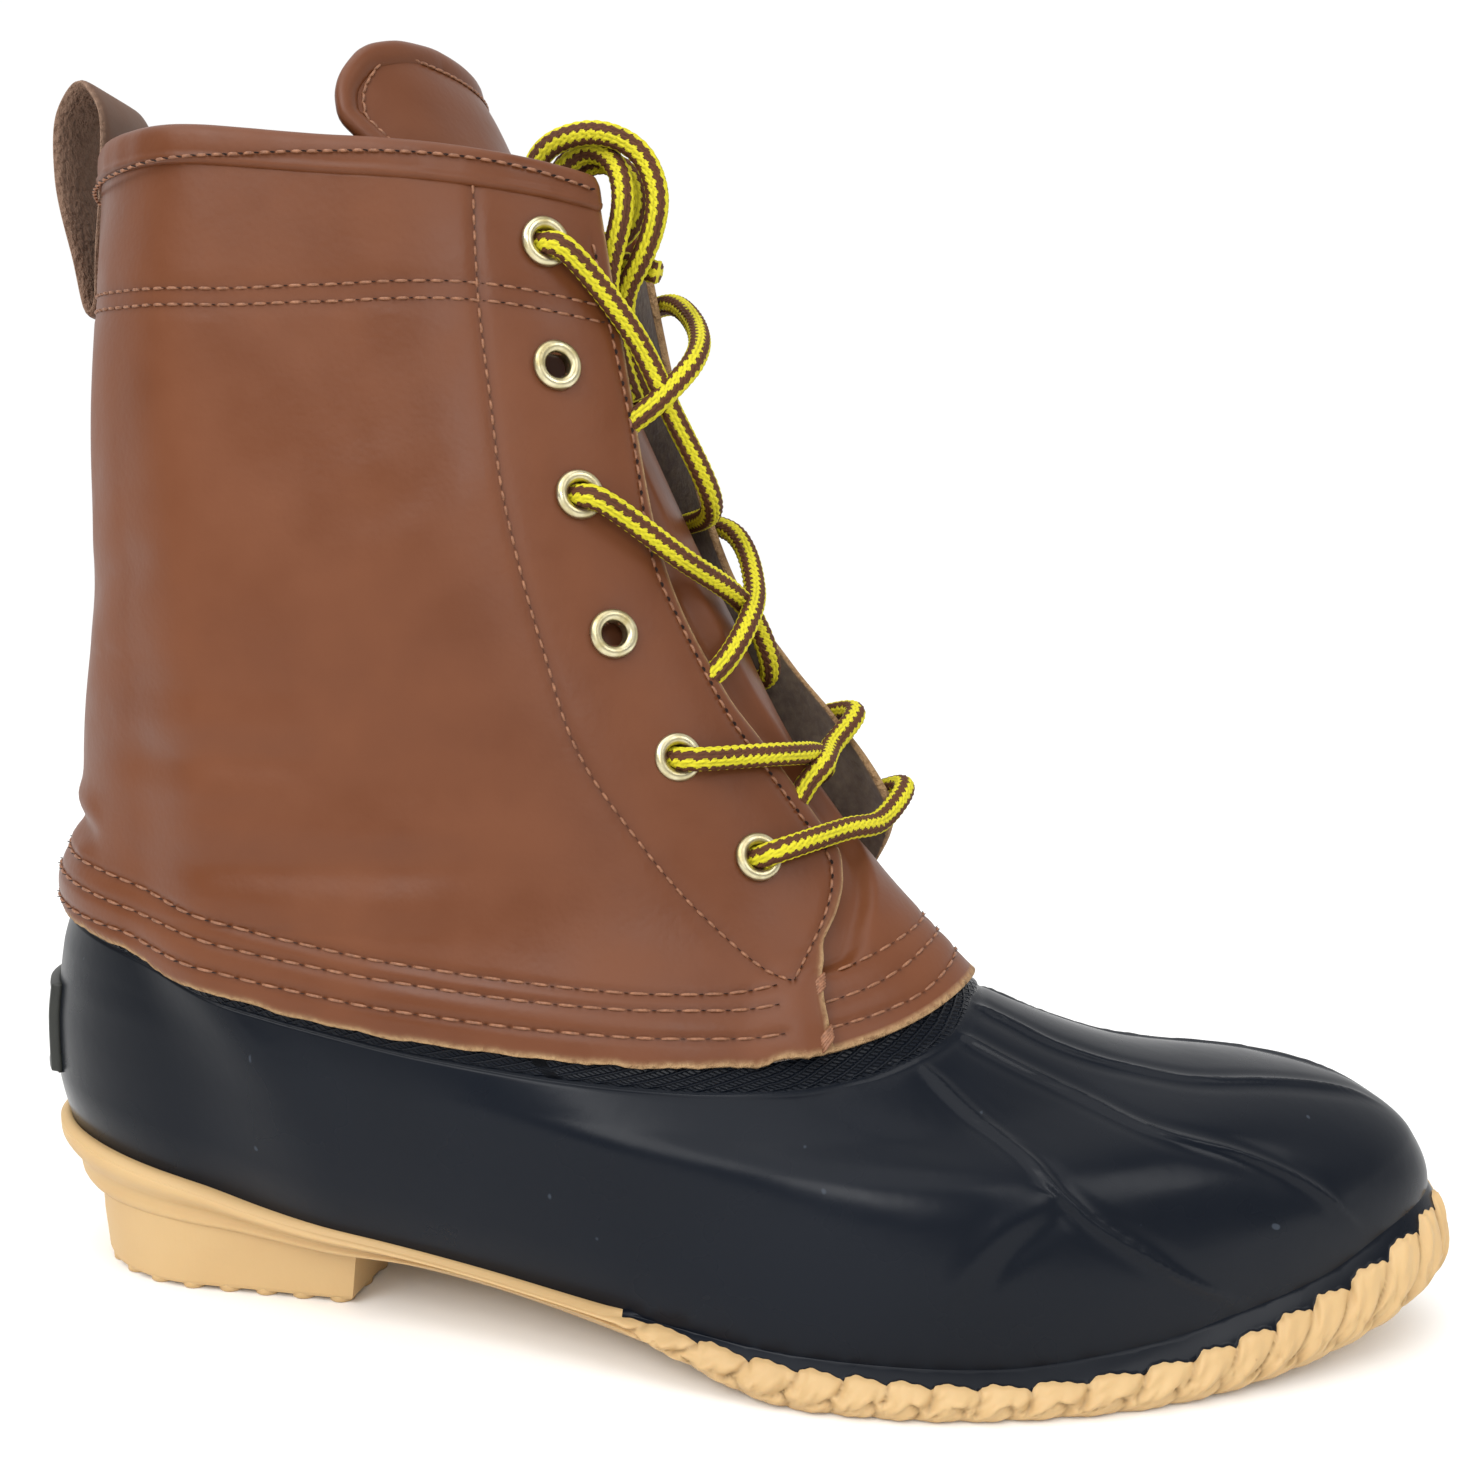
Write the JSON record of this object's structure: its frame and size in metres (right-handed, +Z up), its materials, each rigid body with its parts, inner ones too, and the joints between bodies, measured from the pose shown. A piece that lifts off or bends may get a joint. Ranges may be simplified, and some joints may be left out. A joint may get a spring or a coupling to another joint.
{
  "type": "duck boot",
  "caption": "Right-foot duck boot: moulded rubber shoe on a gum sole, laced leather shaft with a rolled collar, tongue and heel pull loop.",
  "frame": {"origin": "on the floor under the centre of the heel block", "axes": "+X to the toe, +Y to the inner side of the foot, +Z up"},
  "size_m": [0.3049, 0.1113, 0.2601],
  "materials": {
    "gum_rubber": "satin",
    "shell_rubber": "satin",
    "leather": "satin",
    "strap_leather": "satin",
    "insole_felt": "matte",
    "badge_rubber": "matte",
    "eyelet_brass": "polished",
    "lace_braid": "matte"
  },
  "bodies": {
    "root": {"outsole": "gum_rubber", "rubber_shell": "shell_rubber", "shaft": "leather", "tongue": "leather", "insole": "insole_felt", "collar_binding": "leather", "pull_loop": "strap_leather", "backstay": "leather", "heel_badge": "badge_rubber", "eyelet_outer_1": "eyelet_brass", "eyelet_outer_2": "eyelet_brass", "eyelet_outer_3": "eyelet_brass", "eyelet_outer_4": "eyelet_brass", "eyelet_outer_5": "eyelet_brass", "eyelet_outer_6": "eyelet_brass", "eyelet_inner_1": "eyelet_brass", "eyelet_inner_2": "eyelet_brass", "eyelet_inner_3": "eyelet_brass", "eyelet_inner_4": "eyelet_brass", "eyelet_inner_5": "eyelet_brass", "eyelet_inner_6": "eyelet_brass", "lace_cross_1": "lace_braid", "lace_cross_3": "lace_braid", "lace_cross_5": "lace_braid", "lace_bar_6": "lace_braid", "lace_end_1": "lace_braid", "lace_end_2": "lace_braid", "lace_hank": "lace_braid"}
  },
  "joints": []
}
